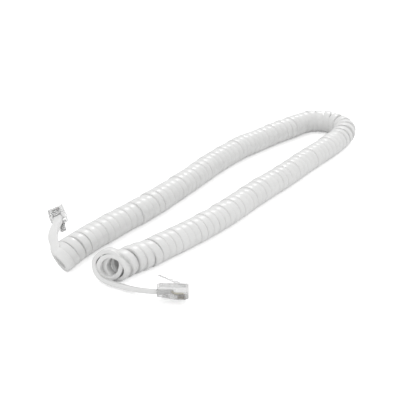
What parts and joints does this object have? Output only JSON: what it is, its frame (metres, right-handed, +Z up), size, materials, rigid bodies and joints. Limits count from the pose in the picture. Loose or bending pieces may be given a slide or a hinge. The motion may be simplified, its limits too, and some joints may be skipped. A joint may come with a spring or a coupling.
{
  "type": "handset cord",
  "caption": "Coiled flat handset cord, folded into a hairpin, with a clear latching modular plug on each end; it joins a desk telephone to its handset.",
  "frame": {"origin": "on the table under the middle of the whole cord's box", "axes": "+Z up from the table, +X along the coil's two arms towards the fold, +Y towards the arm that plug b hangs on"},
  "size_m": [0.2361, 0.1022, 0.0132],
  "materials": {
    "cord_white": "smooth glossy soft vinyl",
    "plug_clear": "clear moulded plastic",
    "contact_gold": "thin gold plate",
    "wire_black": "insulation",
    "wire_red": "insulation",
    "wire_green": "insulation",
    "wire_yellow": "insulation"
  },
  "bodies": {
    "root": {"coil_jacket": "cord_white", "contact_a_1": "contact_gold", "contact_a_2": "contact_gold", "contact_a_3": "contact_gold", "contact_a_4": "contact_gold", "contact_b_1": "contact_gold", "contact_b_2": "contact_gold", "contact_b_3": "contact_gold", "contact_b_4": "contact_gold", "jacket_a": "cord_white", "jacket_b": "cord_white", "plug_body_a": "plug_clear", "plug_body_b": "plug_clear", "tail_a": "cord_white", "tail_b": "cord_white", "wedge_a": "plug_clear", "wedge_b": "plug_clear", "wire_a_1": "wire_black", "wire_a_2": "wire_red", "wire_a_3": "wire_green", "wire_a_4": "wire_yellow", "wire_b_1": "wire_black", "wire_b_2": "wire_red", "wire_b_3": "wire_green", "wire_b_4": "wire_yellow", "wire_bar_a": "plug_clear", "wire_bar_b": "plug_clear"},
    "latch_a": {"latch_a": "plug_clear"},
    "latch_b": {"latch_b": "plug_clear"}
  },
  "joints": [
    {"name": "latch_a_press", "type": "hinge", "parent": "root", "child": "latch_a", "pos_m": [-0.10319, -0.04731, 0.00716], "axis": [-0.8269, -0.3335, 0.4529], "range_deg": [0, 12], "stiffness_Nm_per_rad": 0.12},
    {"name": "latch_b_press", "type": "hinge", "parent": "root", "child": "latch_b", "pos_m": [-0.07476, 0.04585, 0.00248], "axis": [-0.6876, 0.6448, -0.3338], "range_deg": [0, 12], "stiffness_Nm_per_rad": 0.12}
  ]
}
